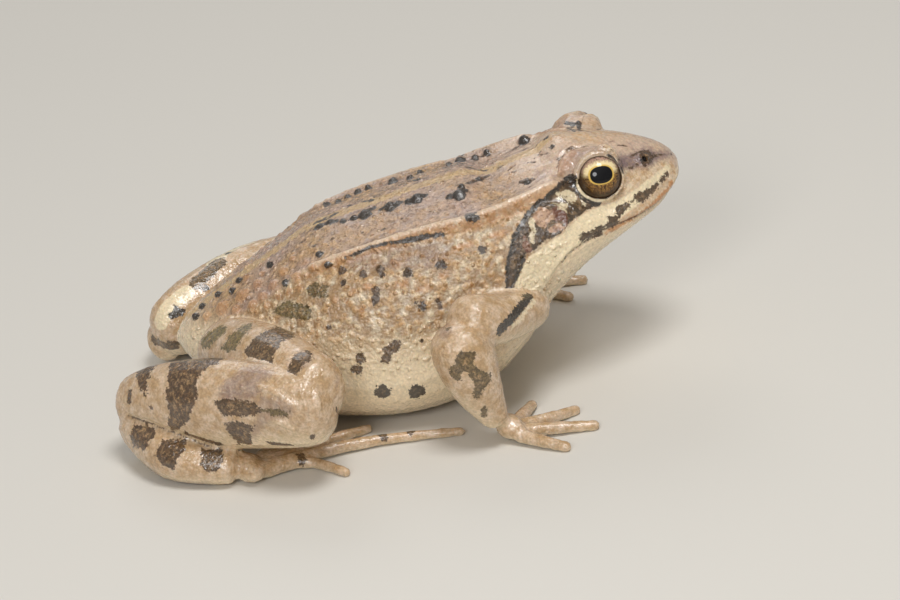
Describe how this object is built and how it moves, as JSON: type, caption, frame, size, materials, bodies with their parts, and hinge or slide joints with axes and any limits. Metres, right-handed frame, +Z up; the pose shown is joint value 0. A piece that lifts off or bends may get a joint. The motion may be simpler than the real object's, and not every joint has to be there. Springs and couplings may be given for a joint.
{
  "type": "caucasus frog, still life-size model",
  "caption": "Brown frog at life size, sitting with folded legs and raised head, belly and feet flat on the floor.",
  "frame": {"origin": "on the floor under the middle of the frog's box", "axes": "+X forward towards the head, +Y the frog's left, +Z up"},
  "size_m": [0.0732, 0.0572, 0.03],
  "materials": {
    "back_skin": "moist, warty, pinkish-tan brown with dark spots",
    "ear_skin": "smooth, dark brown",
    "eye": "wet, gold with a black pupil",
    "limb_skin": "moist, pale tan with dark brown bars",
    "pale_skin": "moist, cream"
  },
  "bodies": {
    "root": {"eye_left": "eye", "eye_right": "eye", "foot_left": "pale_skin", "foot_right": "pale_skin", "forearm_left": "limb_skin", "forearm_right": "limb_skin", "hand_left": "pale_skin", "hand_right": "pale_skin", "head": "back_skin", "lower_jaw": "pale_skin", "shank_left": "limb_skin", "shank_right": "limb_skin", "tarsus_left": "limb_skin", "tarsus_right": "limb_skin", "thigh_left": "limb_skin", "thigh_right": "limb_skin", "torso": "back_skin", "tympanum_left": "ear_skin", "tympanum_right": "ear_skin", "upper_arm_left": "limb_skin", "upper_arm_right": "limb_skin"}
  },
  "joints": []
}
